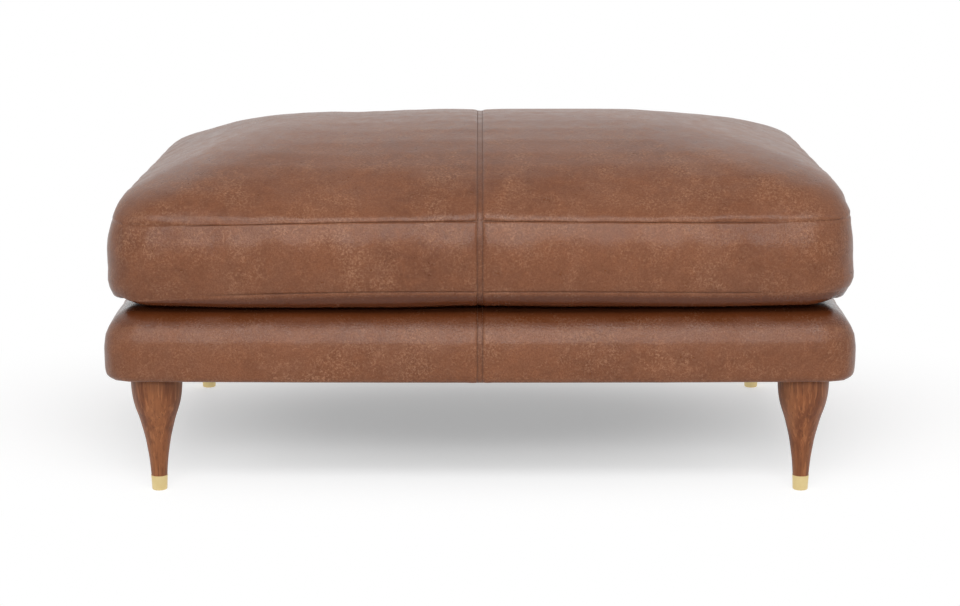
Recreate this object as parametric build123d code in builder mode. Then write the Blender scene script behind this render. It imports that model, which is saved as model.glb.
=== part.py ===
"""A leather ottoman: a padded base on four turned legs, with a loose crowned cushion on top.

All sizes are in millimetres. +Z is up, the floor is z = 0, the front of the stool faces -Y,
and the origin is on the floor under the middle of the stool.
"""
import math
import os

from build123d import *

os.makedirs("parts", exist_ok=True)

# Overall sizes of the padded base and its legs
overall_width = 974.0
overall_depth = 666.0
leg_height = 156.0
base_height = 91.4
leg_spacing_x = 837.0
leg_spacing_y = 553.0

# Overall sizes of the loose cushion, the width and depth taken at its lower sewn edge
cushion_width = 950.0
cushion_depth = 640.0
underside_height = 14.0
boxing_height = 96.0
crown_height = 98.0
boxing_bulge = 10.0
underside_draw = 70.0

# Clearances shared by all pieces
body_gap = 0.3
cut_overrun = 2.0
screw_play = 0.05

# Leather, thread channel and the thin layers under the leather
leather_thickness = 1.4
channel_width = 9.0
channel_depth = 0.9
tape_width = 24.0
tape_thickness = 0.6

# Roundness of the base and of the cushion, seen from above
base_bow = 6.0
base_corner_radius = 44.0
base_top_roll = 54.0
base_foot_roll = 8.0
base_corner_fade_share = 0.5
cushion_bow = 11.0
cushion_corner_radius = 54.0
crown_corner_growth = 0.28

# Steps round the base's small foot roll and its large top roll, as shares of a quarter turn
foot_roll_shares = [0.0, 0.35, 0.7, 1.0]
top_roll_shares = [0.0, 0.18, 0.34, 0.48, 0.62, 0.75, 0.88, 1.0]
# Profile of the cushion's underside, from the deck to the lower sewn edge
underside_section_shares = [(0.0, 1.0), (0.08, 0.66), (0.25, 0.40), (0.50, 0.20), (0.76, 0.07), (1.0, 0.0)]
# Profile of the cushion's side between the two sewn edges, as (rise, how far puffed out)
boxing_section_shares = [
    (0.0, 0.0), (0.09, 0.45), (0.23, 0.80), (0.40, 0.97), (0.57, 1.0), (0.72, 0.93), (0.87, 0.77), (1.0, 0.60),
]
# Profile of the crown, as shares of half the depth, and the two powers of its curve
crown_inset_shares = [0.0, 0.01, 0.03, 0.06, 0.11, 0.18, 0.27, 0.38, 0.51, 0.66, 0.81, 0.94]
crown_inset_power_share = 2.1
crown_rise_power_share = 1.52

# Frame of the base
frame_inset = 31.0
frame_corner_radius = 4.0
rail_thickness = 18.0
centre_rail_height = 45.0
block_height = 30.0
block_arm = 100.0
block_end = 18.0
block_flat = 24.0
hem_width = 20.0
dust_cover_thickness = 0.6
dust_cover_margin = 3.0

# Springs and their fixings
spring_count = 7
spring_rungs = 25
spring_width = 50.0
spring_wire_radius = 1.8
spring_margin = 90.0
clip_thickness = 1.0
clip_width = 20.0
clip_lap = 5.0
clip_setback = 5.0
nail_radius = 1.0
nail_head_radius = 2.6
nail_head_height = 0.8
nail_length = 16.0

# Layers over the springs
felt_thickness = 3.0
deck_foam_thickness = 12.0
deck_padding_thickness = 5.0
layer_inset = 22.0
spring_zone_inset = 3.0

# Screws of the frame
screw_radius = 2.2
screw_head_radius = 4.4
screw_head_height = 2.6
rail_screw_length = 60.0
block_screw_length = 32.0
rail_screw_rise_shares = [0.28, 0.72]
staple_crown = 10.0
staple_leg = 9.0
staple_wire = 0.9
staple_spacing = 62.0

# Turned legs, as (height, radius) shares of the wood above the ferrule
leg_top_radius = 33.0
leg_foot_radius = 10.4
leg_rise_shares = [0.0, 0.10, 0.18, 0.26, 0.34, 0.42, 0.495, 0.575, 0.655, 0.735, 0.81, 0.89, 0.96, 1.0]
leg_swell_shares = [0.0, 0.044, 0.095, 0.165, 0.243, 0.345, 0.46, 0.59, 0.755, 0.885, 0.96, 1.0, 0.99, 0.93]

# Brass ferrules
ferrule_height = 19.5
ferrule_top_radius = 10.8
ferrule_foot_radius = 9.8
ferrule_floor = 1.5
ferrule_edge_radius = 1.2
tenon_radius = 8.6
glue_gap = 0.05

# Leg bolts and tee nuts
bolt_radius = 4.0
bolt_length = 62.0
bolt_depth_in_leg = 32.0
bolt_hole_radius = 4.6
tee_nut_barrel_radius = 5.2
tee_nut_barrel_length = 12.0
tee_nut_flange_radius = 7.4
tee_nut_flange_thickness = 1.5

# Fibre wrap of the cushion
wrap_thickness = 22.0

# Zip in the rear of the cushion
zip_length = 620.0
zip_gap = 8.0
zip_tape_height = 14.0
zip_chain_height = 5.0
zip_chain_pitch = 5.0
zip_tooth_gap = 1.6
zip_tooth_depth = 0.8
zip_chain_proud = 0.6
zip_stop_length = 4.0
slider_length = 10.0
slider_height = 9.0
slider_plate = 1.6
slider_flange = 0.9
slider_play = 0.3
slider_ear = 1.2
pull_pin_radius = 0.9
pull_hole_radius = 0.96
pull_eye_radius = 2.0
pull_length = 24.0
pull_width = 6.0
pull_thickness = 1.6
pull_eye_height = 3.6

# Heights that follow from the sizes above
base_bottom = leg_height + dust_cover_thickness
deck_height = base_bottom + base_height
rail_bottom = base_bottom + leather_thickness
felt_top = deck_height - leather_thickness - deck_padding_thickness - deck_foam_thickness
felt_bottom = felt_top - felt_thickness
deck_foam_top = felt_top + deck_foam_thickness
rail_top = felt_bottom - 2 * clip_thickness - 2 * spring_wire_radius
rail_height = rail_top - rail_bottom
cushion_bottom = deck_height + body_gap
lower_seam = cushion_bottom + underside_height
upper_seam = lower_seam + boxing_height
boxing_middle = (lower_seam + upper_seam) / 2
frame_half_width = overall_width / 2 - frame_inset
frame_half_depth = overall_depth / 2 - frame_inset
rail_inner_x = frame_half_width - rail_thickness
rail_inner_y = frame_half_depth - rail_thickness
reach = overall_width


def plan_outline(height, half_width, half_depth, radius, bow, flat_rear):
    """One level of a padded form: bowed sides between rounded corners."""
    corner_x = half_width - bow
    corner_y = half_depth - bow
    with BuildSketch(Plane.XY.offset(height)) as outline:
        with BuildLine():
            ThreePointArc((-corner_x, -corner_y), (0, -half_depth), (corner_x, -corner_y))
            ThreePointArc((corner_x, -corner_y), (half_width, 0), (corner_x, corner_y))
            if flat_rear:
                Line((corner_x, corner_y), (-corner_x, corner_y))
            else:
                ThreePointArc((corner_x, corner_y), (0, half_depth), (-corner_x, corner_y))
            ThreePointArc((-corner_x, corner_y), (-half_width, 0), (-corner_x, -corner_y))
        make_face()
        fillet(outline.vertices(), radius)
    return outline.sketch


def padded_form(levels, flat_rear):
    """A solid lofted through levels of (height, half width, half depth, corner radius, bow)."""
    with BuildPart() as form:
        loft([plan_outline(*level, flat_rear) for level in levels], ruled=True)
    return form.part


def base_form(inward, floor):
    """The base's outer shape, drawn in by one amount all over, standing on a given floor."""
    foot = base_foot_roll - inward
    top = base_top_roll - inward
    section = []
    for share in foot_roll_shares:
        angle = math.radians(share * 90)
        section.append((floor + foot * (1 - math.cos(angle)), foot * (1 - math.sin(angle))))
    for share in top_roll_shares:
        angle = math.radians(share * 90)
        height = deck_height - inward - top * (1 - math.sin(angle))
        section.append((height, top * (1 - math.cos(angle))))
    levels = []
    for height, roll in section:
        levels.append((
            height,
            overall_width / 2 - inward - roll,
            overall_depth / 2 - inward - roll,
            base_corner_radius - inward - base_corner_fade_share * roll,
            base_bow,
        ))
    return padded_form(levels, flat_rear=False)


def underside_form(inward):
    """The cushion from the deck up to its lower sewn edge."""
    floor = cushion_bottom + inward
    levels = []
    for rise_share, inset_share in underside_section_shares:
        inset = inset_share * underside_draw + inward
        levels.append((
            floor + rise_share * (lower_seam - floor),
            cushion_width / 2 - inset,
            cushion_depth / 2 - inset,
            cushion_corner_radius - inward,
            cushion_bow,
        ))
    return padded_form(levels, flat_rear=True)


def boxing_form(inward):
    """The cushion's puffed side, from the lower sewn edge to the upper one."""
    levels = []
    for rise_share, bulge_share in boxing_section_shares:
        inset = inward - bulge_share * boxing_bulge
        levels.append((
            lower_seam + rise_share * boxing_height,
            cushion_width / 2 - inset,
            cushion_depth / 2 - inset,
            cushion_corner_radius - inset,
            cushion_bow,
        ))
    return padded_form(levels, flat_rear=True)


def crown_form(inward):
    """The cushion's crown, which rises steeply from the upper sewn edge and then flattens."""
    seam_bulge = boxing_section_shares[-1][1] * boxing_bulge
    half_width = cushion_width / 2 + seam_bulge - inward
    half_depth = cushion_depth / 2 + seam_bulge - inward
    seam_corner = cushion_corner_radius + seam_bulge - inward
    rise = crown_height - inward
    levels = []
    for inset_share in crown_inset_shares:
        inset = inset_share * half_depth
        curve = (1 - (1 - inset_share) ** crown_inset_power_share) ** (1 / crown_rise_power_share)
        fading_bow = cushion_bow * (1 - inset_share)
        largest_corner = (half_depth - inset - fading_bow) * (1 - crown_corner_growth)
        levels.append((
            upper_seam + curve * rise,
            half_width - inset,
            half_depth - inset,
            min(seam_corner + crown_corner_growth * inset, largest_corner),
            fading_bow,
        ))
    return padded_form(levels, flat_rear=True)


def cushion_form(inward):
    """The whole cushion, drawn in by one amount all over."""
    underside = underside_form(inward)
    boxing = boxing_form(inward)
    crown = crown_form(inward)
    with BuildPart() as form:
        add(underside)
        add(boxing)
        add(crown)
    return form.part


def slab_box(low, high):
    """A box between two corners, used to keep or cut one region of a form."""
    with BuildPart() as slab:
        with Locations(((low[0] + high[0]) / 2, (low[1] + high[1]) / 2, (low[2] + high[2]) / 2)):
            Box(high[0] - low[0], high[1] - low[1], high[2] - low[2])
    return slab.part


def seam_zone(width, front_only):
    """The upright slab along the middle seam, over the whole depth or over the front alone."""
    rear = 0 if front_only else reach
    return slab_box((-width / 2, -reach, 0), (width / 2, rear, reach))


def channelled(shape, inward, zone_width, front_only, *extra):
    """A form whose middle is sunk by the depth of the sewn channel."""
    full = shape(inward, *extra)
    sunk = shape(inward + channel_depth, *extra)
    zone = seam_zone(zone_width, front_only)
    with BuildPart() as form:
        add(full)
        add(zone, mode=Mode.SUBTRACT)
    with BuildPart() as middle:
        add(sunk)
        add(zone, mode=Mode.INTERSECT)
    with BuildPart() as joined:
        add(form.part)
        add(middle.part)
    return joined.part


def right_half(whole):
    """The part of a solid on the right of the middle seam."""
    with BuildPart() as half:
        add(whole)
        add(slab_box((0, -reach, 0), (reach, reach, reach)), mode=Mode.INTERSECT)
    return half.part


def mirrored(right):
    """The left-hand twin of a right-hand piece."""
    with BuildPart() as twin:
        add(right)
        mirror(about=Plane.YZ, mode=Mode.REPLACE)
    return twin.part


def save(shape, name):
    """Labels a finished piece and writes its file."""
    shape.label = name
    export_step(shape, f"parts/{name}.step")


def save_halves(skin, right_name, left_name):
    """Writes both halves of a skin that is sewn along its middle."""
    right = right_half(skin)
    save(right, right_name)
    save(mirrored(right), left_name)


# Frame: four rails, a centre rail and four corner blocks

def frame_ring():
    with BuildPart() as ring:
        with BuildSketch(Plane.XY.offset(rail_bottom)) as outline:
            Rectangle(2 * frame_half_width, 2 * frame_half_depth)
            fillet(outline.vertices(), frame_corner_radius)
            Rectangle(2 * rail_inner_x, 2 * rail_inner_y, mode=Mode.SUBTRACT)
        extrude(amount=rail_height)
    return ring.part


def screw(length):
    """A countersunk screw lying along +X from its head, which is flush at x = 0."""
    with BuildPart() as body:
        with BuildSketch(Plane.XZ):
            with BuildLine():
                Polyline(
                    (0, 0),
                    (0, screw_head_radius),
                    (screw_head_height, screw_radius),
                    (length - screw_radius, screw_radius),
                    (length, 0),
                    close=True,
                )
            make_face()
        revolve(axis=Axis.X)
    return body.part


def placed_copies(shape, places):
    """Copies of one shape as a group of separate solids."""
    return Compound([shape.moved(place) for place in places])


def rail_screw_places():
    """Screws through the long rails into the end grain of the short ones and the centre rail."""
    places = []
    for side in (-1, 1):
        turn = 90 if side < 0 else -90
        for across in (-1, 0, 1):
            x = across * (rail_inner_x + rail_thickness / 2)
            height = centre_rail_height if across == 0 else rail_height
            for share in rail_screw_rise_shares:
                z = rail_bottom + share * height
                places.append(Location((x, side * frame_half_depth, z), (0, 0, turn)))
    return places


def block_screw_places():
    """Screws through the flat ends of the corner blocks into the rails."""
    places = []
    z = rail_bottom + block_height / 2
    for sx in (-1, 1):
        for sy in (-1, 1):
            x = sx * (rail_inner_x - block_arm + block_flat / 2)
            y = sy * (rail_inner_y - block_end)
            places.append(Location((x, y, z), (0, 0, sy * 90)))
            x = sx * (rail_inner_x - block_end)
            y = sy * (rail_inner_y - block_arm + block_flat / 2)
            places.append(Location((x, y, z), (0, 0, 0 if sx > 0 else 180)))
    return places


rail_screws = placed_copies(screw(rail_screw_length), rail_screw_places())
block_screws = placed_copies(screw(block_screw_length), block_screw_places())


def staple_places():
    """Spots along the middle of each rail where the dust cover is stapled, with their turn."""
    places = []
    long_count = round(2 * rail_inner_x / staple_spacing)
    short_count = round(2 * rail_inner_y / staple_spacing)
    line_x = frame_half_width - hem_width / 2
    line_y = frame_half_depth - hem_width / 2
    for side in (-1, 1):
        for k in range(long_count):
            x = ((k + 0.5) / long_count * 2 - 1) * rail_inner_x
            places.append(Location((x, side * line_y, leg_height)))
        for k in range(short_count):
            y = ((k + 0.5) / short_count * 2 - 1) * rail_inner_y
            places.append(Location((side * line_x, y, leg_height), (0, 0, 90)))
    return [place for place in places if clear_of_legs(place)]


def clear_of_legs(place):
    """Whether a staple lies outside the round tops of the legs."""
    away_x = abs(place.position.X) - leg_spacing_x / 2
    away_y = abs(place.position.Y) - leg_spacing_y / 2
    return math.hypot(away_x, away_y) > leg_top_radius + staple_crown


def staple():
    """A staple driven upwards, its crown just under z = 0."""
    with BuildPart() as wire:
        with BuildSketch(Plane.XZ.offset(-staple_wire / 2)):
            with Locations((0, staple_leg / 2 - staple_wire)):
                Rectangle(staple_crown, staple_leg)
            with Locations((0, staple_leg / 2)):
                Rectangle(staple_crown - 2 * staple_wire, staple_leg, mode=Mode.SUBTRACT)
        extrude(amount=staple_wire)
    return wire.part


staples = placed_copies(staple(), staple_places())
save(staples, "dust_cover_staples")
save(rail_screws, "rail_screws")
save(block_screws, "block_screws")


def clip_rows():
    """The x of each spring, and the y of its end rungs on the long rails."""
    half_run = rail_inner_x - spring_margin
    pitch = 2 * half_run / (spring_count - 1)
    return [-half_run + k * pitch for k in range(spring_count)]


spring_half_length = rail_inner_y + clip_setback
spring_level = rail_top + clip_thickness + spring_wire_radius
rung_pitch = 2 * spring_half_length / (spring_rungs - 1)


def zigzag_spring():
    """One flat zigzag spring: straight rungs joined by half turns, from front rail to rear rail."""
    bend = rung_pitch / 2
    half_rung = spring_width / 2 - spring_wire_radius - bend
    with BuildPart() as spring:
        with BuildLine() as path:
            side = 1
            for k in range(spring_rungs):
                y = -spring_half_length + k * rung_pitch
                Line((-side * half_rung, y, spring_level), (side * half_rung, y, spring_level))
                if k < spring_rungs - 1:
                    ThreePointArc(
                        (side * half_rung, y, spring_level),
                        (side * (half_rung + bend), y + bend, spring_level),
                        (side * half_rung, y + rung_pitch, spring_level),
                    )
                side = -side
        start = Plane(
            origin=(-half_rung, -spring_half_length, spring_level), z_dir=(1, 0, 0)
        )
        with BuildSketch(start):
            Circle(spring_wire_radius)
        sweep(path=path.wire())
    return spring.part


def spring_clip():
    """A clip folded round an end rung, its two leaves running outwards along the rail, at y = 0."""
    outer = spring_wire_radius + clip_thickness
    inner = spring_wire_radius + screw_play
    with BuildPart() as clip:
        with BuildSketch(Plane.YZ.offset(-clip_width / 2)):
            Circle(outer)
            with Locations((-(outer + clip_lap) / 2, 0)):
                Rectangle(outer + clip_lap, 2 * outer)
            Circle(inner, mode=Mode.SUBTRACT)
            with Locations((-(outer + clip_lap) / 2 - cut_overrun, 0)):
                Rectangle(outer + clip_lap + 2 * cut_overrun, 2 * inner, mode=Mode.SUBTRACT)
        extrude(amount=clip_width)
    return clip.part


def clip_nail():
    """A nail through both leaves of a clip, pointing down, its head's underside at z = 0."""
    with BuildPart() as nail:
        Cylinder(nail_head_radius, nail_head_height, align=(Align.CENTER, Align.CENTER, Align.MIN))
        Cylinder(nail_radius, nail_length, align=(Align.CENTER, Align.CENTER, Align.MAX))
    return nail.part


def spring_end_places(reach_out, z):
    """Both ends of every spring, turned so that -Y points outwards along the stool's depth."""
    places = []
    for x in clip_rows():
        y = spring_half_length + reach_out
        places.append(Location((x, -y, z)))
        places.append(Location((x, y, z), (0, 0, 180)))
    return places


nail_reach = spring_wire_radius + clip_thickness + clip_lap / 2
nail_level = rail_top + clip_thickness
nails = placed_copies(clip_nail(), spring_end_places(nail_reach, nail_level))


def spring_clips():
    """All clips, their upper leaves short of the nails, with nail holes in the lower leaves."""
    clips = placed_copies(spring_clip(), spring_end_places(0, spring_level))
    hole = slab_box(
        (-nail_head_radius - screw_play, -nail_head_radius - clip_lap, 0),
        (nail_head_radius + screw_play, nail_head_radius + screw_play, spring_wire_radius * 2),
    )
    openings = placed_copies(hole, spring_end_places(nail_reach, nail_level))
    with BuildPart() as group:
        add(clips)
        add(openings, mode=Mode.SUBTRACT)
        add(nails, mode=Mode.SUBTRACT)
    return Compound(group.part.solids())


springs = placed_copies(zigzag_spring(), [Location((x, 0, 0)) for x in clip_rows()])
save(springs, "zigzag_springs")
save(nails, "clip_nails")
save(spring_clips(), "spring_clips")


def cut_by_fasteners(shape, *groups):
    """A wooden piece with holes for the fasteners that pass through it."""
    with BuildPart() as piece:
        add(shape)
        for group in groups:
            add(group, mode=Mode.SUBTRACT)
    return piece.part


def cut_rail(low, high):
    ring = frame_ring()
    with BuildPart() as rail:
        add(ring)
        add(slab_box(low, high), mode=Mode.INTERSECT)
    return cut_by_fasteners(rail.part, rail_screws, block_screws, staples, nails)


save(cut_rail((-reach, -reach, 0), (reach, -rail_inner_y, reach)), "front_rail")
save(cut_rail((-reach, rail_inner_y, 0), (reach, reach, reach)), "rear_rail")
save(cut_rail((-reach, -rail_inner_y, 0), (-rail_inner_x, rail_inner_y, reach)), "left_rail")
save(cut_rail((rail_inner_x, -rail_inner_y, 0), (reach, rail_inner_y, reach)), "right_rail")
centre_bar = slab_box(
    (-rail_thickness / 2, -rail_inner_y, rail_bottom),
    (rail_thickness / 2, rail_inner_y, rail_bottom + centre_rail_height),
)
save(cut_by_fasteners(centre_bar, rail_screws), "centre_rail")


def corner_block(side_x, side_y):
    """A block screwed into the corner of the frame, drilled for the leg bolt and its tee nut."""
    points = [
        (0, 0),
        (block_arm, 0),
        (block_arm, block_end),
        (block_arm - block_flat, block_end),
        (block_end, block_arm - block_flat),
        (block_end, block_arm),
        (0, block_arm),
    ]
    outline = [(side_x * (rail_inner_x - x), side_y * (rail_inner_y - y)) for x, y in points]
    centre = (side_x * leg_spacing_x / 2, side_y * leg_spacing_y / 2)
    with BuildPart() as block:
        with BuildSketch(Plane.XY.offset(rail_bottom)):
            with BuildLine():
                Polyline(*outline, close=True)
            make_face()
            with Locations(centre):
                Circle(bolt_hole_radius, mode=Mode.SUBTRACT)
        extrude(amount=block_height)
        with BuildSketch(Plane.XY.offset(rail_bottom + block_height - tee_nut_barrel_length)):
            with Locations(centre):
                Circle(tee_nut_barrel_radius + screw_play)
        extrude(amount=tee_nut_barrel_length, mode=Mode.SUBTRACT)
    return cut_by_fasteners(block.part, block_screws)


side_names = {(-1, -1): "front_left", (1, -1): "front_right", (-1, 1): "rear_left", (1, 1): "rear_right"}
leg_places = [
    Location((sx * leg_spacing_x / 2, sy * leg_spacing_y / 2, 0)) for sx, sy in side_names
]
for (side_x, side_y), side_name in side_names.items():
    save(corner_block(side_x, side_y), f"corner_block_{side_name}")


# Base cover: two leather halves with a hem turned under the rails

def base_skin():
    outer = channelled(base_form, 0, channel_width, False, base_bottom)
    inner_width = channel_width + 2 * leather_thickness
    inner = channelled(base_form, leather_thickness, inner_width, False, rail_bottom)
    with BuildPart() as skin:
        add(outer)
        add(inner, mode=Mode.SUBTRACT)
        with BuildSketch(Plane.XY.offset(base_bottom - cut_overrun)):
            Rectangle(2 * (frame_half_width - hem_width), 2 * (frame_half_depth - hem_width))
        extrude(amount=leather_thickness + 2 * cut_overrun, mode=Mode.SUBTRACT)
        add(staples, mode=Mode.SUBTRACT)
    return skin.part


def seam_tape(outer, inner):
    """A tape that backs the middle seam, the skin between an outer and an inner form."""
    with BuildPart() as tape:
        add(outer)
        add(inner, mode=Mode.SUBTRACT)
        add(seam_zone(tape_width, False), mode=Mode.INTERSECT)
    return tape.part


def layer_prism(inset, low, high):
    """A flat layer that follows the frame's outline from one height to another."""
    with BuildPart() as layer:
        with BuildSketch(Plane.XY.offset(low)) as outline:
            Rectangle(2 * (frame_half_width - inset), 2 * (frame_half_depth - inset))
            fillet(outline.vertices(), frame_corner_radius)
        extrude(amount=high - low)
    return layer.part


def base_wadding():
    """Fibre and edge foam between the frame and the leather."""
    depth = leather_thickness + tape_thickness
    padding = channelled(base_form, depth, tape_width, False, rail_bottom)
    with BuildPart() as wadding:
        add(padding)
        add(layer_prism(0, rail_bottom - cut_overrun, rail_top), mode=Mode.SUBTRACT)
        add(layer_prism(spring_zone_inset, rail_top - cut_overrun, felt_bottom), mode=Mode.SUBTRACT)
        add(layer_prism(layer_inset, felt_bottom - cut_overrun, deck_foam_top), mode=Mode.SUBTRACT)
    return wadding.part


save_halves(base_skin(), "base_cover_right", "base_cover_left")
tape_depth = leather_thickness + channel_depth
tape_outer = base_form(tape_depth, rail_bottom)
tape_inner = base_form(tape_depth + tape_thickness, rail_bottom - cut_overrun)
save(seam_tape(tape_outer, tape_inner), "base_seam_tape")
save(base_wadding(), "base_wadding")


# Layers over and under the springs
save(layer_prism(layer_inset, felt_bottom, felt_top), "spring_felt")
save(layer_prism(layer_inset, felt_top, deck_foam_top), "deck_foam")


def dust_cover():
    """The cloth under the frame, with holes for the leg bolts and the staples."""
    sheet = layer_prism(dust_cover_margin, leg_height, base_bottom)
    with BuildPart() as cover:
        add(sheet)
        with BuildSketch(Plane.XY.offset(leg_height)):
            with Locations(*leg_places):
                Circle(bolt_hole_radius)
        extrude(amount=dust_cover_thickness, mode=Mode.SUBTRACT)
        add(staples, mode=Mode.SUBTRACT)
    return cover.part


save(dust_cover(), "dust_cover")


# Legs, ferrules, bolts and tee nuts

def turned_leg():
    """A concave tapered leg with a full round shoulder, and a tenon for its ferrule."""
    wood_height = leg_height - ferrule_height
    profile = [
        (leg_foot_radius + swell * (leg_top_radius - leg_foot_radius), ferrule_height + rise * wood_height)
        for rise, swell in zip(leg_rise_shares, leg_swell_shares)
    ]
    tenon_bottom = ferrule_floor + glue_gap
    with BuildPart() as leg:
        with BuildSketch(Plane.XZ):
            with BuildLine():
                Spline(*profile)
                Polyline(
                    profile[-1],
                    (0, leg_height),
                    (0, tenon_bottom),
                    (tenon_radius, tenon_bottom),
                    (tenon_radius, ferrule_height),
                    profile[0],
                )
            make_face()
        revolve(axis=Axis.Z)
        with BuildSketch(Plane.XY.offset(leg_height - bolt_depth_in_leg)):
            Circle(bolt_radius + screw_play)
        extrude(amount=bolt_depth_in_leg, mode=Mode.SUBTRACT)
    return leg.part


def ferrule():
    """A tapered brass cup with a rounded bottom edge."""
    with BuildPart() as cup:
        with BuildSketch(Plane.XZ):
            with BuildLine():
                Polyline(
                    (0, 0),
                    (ferrule_foot_radius, 0),
                    (ferrule_top_radius, ferrule_height),
                    (0, ferrule_height),
                    close=True,
                )
            make_face()
        revolve(axis=Axis.Z)
        fillet(cup.edges().group_by(Axis.Z)[0], ferrule_edge_radius)
        with BuildSketch(Plane.XY.offset(ferrule_floor)):
            Circle(tenon_radius + glue_gap)
        extrude(amount=ferrule_height, mode=Mode.SUBTRACT)
    return cup.part


def hanger_bolt():
    """A bolt from the middle of the leg up through the tee nut, with a chamfered tip."""
    with BuildPart() as bolt:
        with BuildSketch(Plane.XY.offset(leg_height - bolt_depth_in_leg)):
            Circle(bolt_radius)
        extrude(amount=bolt_length)
        chamfer(bolt.edges().group_by(Axis.Z)[-1], bolt_radius / 4)
    return bolt.part


def tee_nut():
    """A flange on top of the corner block and a barrel down into it."""
    block_top = rail_bottom + block_height
    with BuildPart() as nut:
        with BuildSketch(Plane.XY.offset(block_top)):
            Circle(tee_nut_flange_radius)
        extrude(amount=tee_nut_flange_thickness)
        with BuildSketch(Plane.XY.offset(block_top)):
            Circle(tee_nut_barrel_radius)
        extrude(amount=-tee_nut_barrel_length + screw_play)
        with BuildSketch(Plane.XY.offset(block_top - tee_nut_barrel_length)):
            Circle(bolt_radius + screw_play)
        extrude(amount=tee_nut_barrel_length + tee_nut_flange_thickness, mode=Mode.SUBTRACT)
    return nut.part


leg_shape = turned_leg()
ferrule_shape = ferrule()
for side_name, place in zip(side_names.values(), leg_places):
    save(leg_shape.moved(place), f"leg_{side_name}")
    save(ferrule_shape.moved(place), f"ferrule_{side_name}")
save(placed_copies(hanger_bolt(), leg_places), "hanger_bolts")
save(placed_copies(tee_nut(), leg_places), "tee_nuts")


# Cushion: foam core, fibre wrap and leather panels sewn along both edges and the middle
half_zip = zip_length / 2
zip_window = slab_box(
    (-half_zip, 0, lower_seam),
    (half_zip, reach, upper_seam),
)


def panel_skin(shape, front_only):
    """A leather panel one thickness deep, sunk along the middle seam."""
    outer = channelled(shape, 0, channel_width, front_only)
    inner_width = channel_width + 2 * leather_thickness
    inner = channelled(shape, leather_thickness, inner_width, front_only)
    with BuildPart() as skin:
        add(outer)
        add(inner, mode=Mode.SUBTRACT)
    return skin.part


def boxing_skin():
    skin = panel_skin(boxing_form, True)
    with BuildPart() as boxing:
        add(skin)
        add(zip_window, mode=Mode.SUBTRACT)
    return boxing.part


def rear_band(outer_depth, thickness, half_length, low, high):
    """A strip of the boxing's rear side between two heights, at some depth under its surface."""
    outer = boxing_form(outer_depth)
    inner = boxing_form(outer_depth + thickness)
    with BuildPart() as band:
        add(outer)
        add(inner, mode=Mode.SUBTRACT)
        add(slab_box((-half_length, 0, low), (half_length, reach, high)), mode=Mode.INTERSECT)
    return band.part


def cushion_wrap(core):
    """Fibre fill between the core and the leather, recessed for the tapes of the middle seam."""
    depth = leather_thickness + tape_thickness
    with BuildPart() as wrap:
        add(channelled(cushion_form, depth, tape_width, False))
        add(core, mode=Mode.SUBTRACT)
    return wrap.part


save_halves(panel_skin(crown_form, False), "cushion_top_right", "cushion_top_left")
save_halves(boxing_skin(), "cushion_boxing_right", "cushion_boxing_left")
save_halves(panel_skin(underside_form, False), "cushion_bottom_right", "cushion_bottom_left")
cushion_tape = seam_tape(cushion_form(tape_depth), cushion_form(tape_depth + tape_thickness))
core = cushion_form(wrap_thickness)
with BuildPart() as short_tape:
    add(cushion_tape)
    add(zip_window, mode=Mode.SUBTRACT)
save(Compound(short_tape.part.solids()), "cushion_seam_tape")
save(cushion_wrap(core), "cushion_wrap")
save(core, "cushion_core")


# Zip: two leather strips, two tapes, a chain with its end stops, a slider and its pull
save(rear_band(0, leather_thickness, half_zip, boxing_middle + zip_gap / 2, upper_seam), "zip_strip_upper")
save(rear_band(0, leather_thickness, half_zip, lower_seam, boxing_middle - zip_gap / 2), "zip_strip_lower")
save(
    rear_band(leather_thickness, tape_thickness, half_zip, boxing_middle, boxing_middle + zip_tape_height),
    "zip_tape_upper",
)
save(
    rear_band(leather_thickness, tape_thickness, half_zip, boxing_middle - zip_tape_height, boxing_middle),
    "zip_tape_lower",
)

leather_face = cushion_depth / 2 + boxing_bulge - cushion_bow
chain_back = leather_face - leather_thickness + screw_play
chain_front = leather_face + zip_chain_proud
chain_half_length = half_zip - zip_stop_length


def zip_chain():
    """The coil of the zip, a bar with a notch between every two teeth."""
    tooth_count = round(2 * chain_half_length / zip_chain_pitch)
    step = 2 * chain_half_length / tooth_count
    with BuildPart() as chain:
        with BuildSketch(Plane.XY.offset(boxing_middle - zip_chain_height / 2)):
            with BuildLine():
                points = [(-chain_half_length, chain_back), (chain_half_length, chain_back)]
                for k in range(tooth_count):
                    right = chain_half_length - k * step
                    left = right - step
                    points.append((right, chain_front))
                    points.append((left + zip_tooth_gap, chain_front))
                    points.append((left + zip_tooth_gap, chain_front - zip_tooth_depth))
                    points.append((left, chain_front - zip_tooth_depth))
                Polyline(*points, close=True)
            make_face()
        extrude(amount=zip_chain_height)
    return chain.part


def zip_stops():
    """A small metal block at each end of the chain."""
    height = zip_chain_height / 2
    left = slab_box(
        (-half_zip, chain_back, boxing_middle - height),
        (-chain_half_length, chain_front, boxing_middle + height),
    )
    right = slab_box(
        (chain_half_length, chain_back, boxing_middle - height),
        (half_zip, chain_front, boxing_middle + height),
    )
    return Compound([left.solid(), right.solid()])


save(zip_chain(), "zip_chain")
save(zip_stops(), "zip_stops")

slider_x = chain_half_length - slider_length / 2
plate_back = chain_front + slider_play
plate_front = plate_back + slider_plate
pin_y = plate_front + pull_eye_radius + slider_play
flange_outer = zip_gap / 2 - slider_play
ear_low = pull_eye_height / 2 + slider_play


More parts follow.
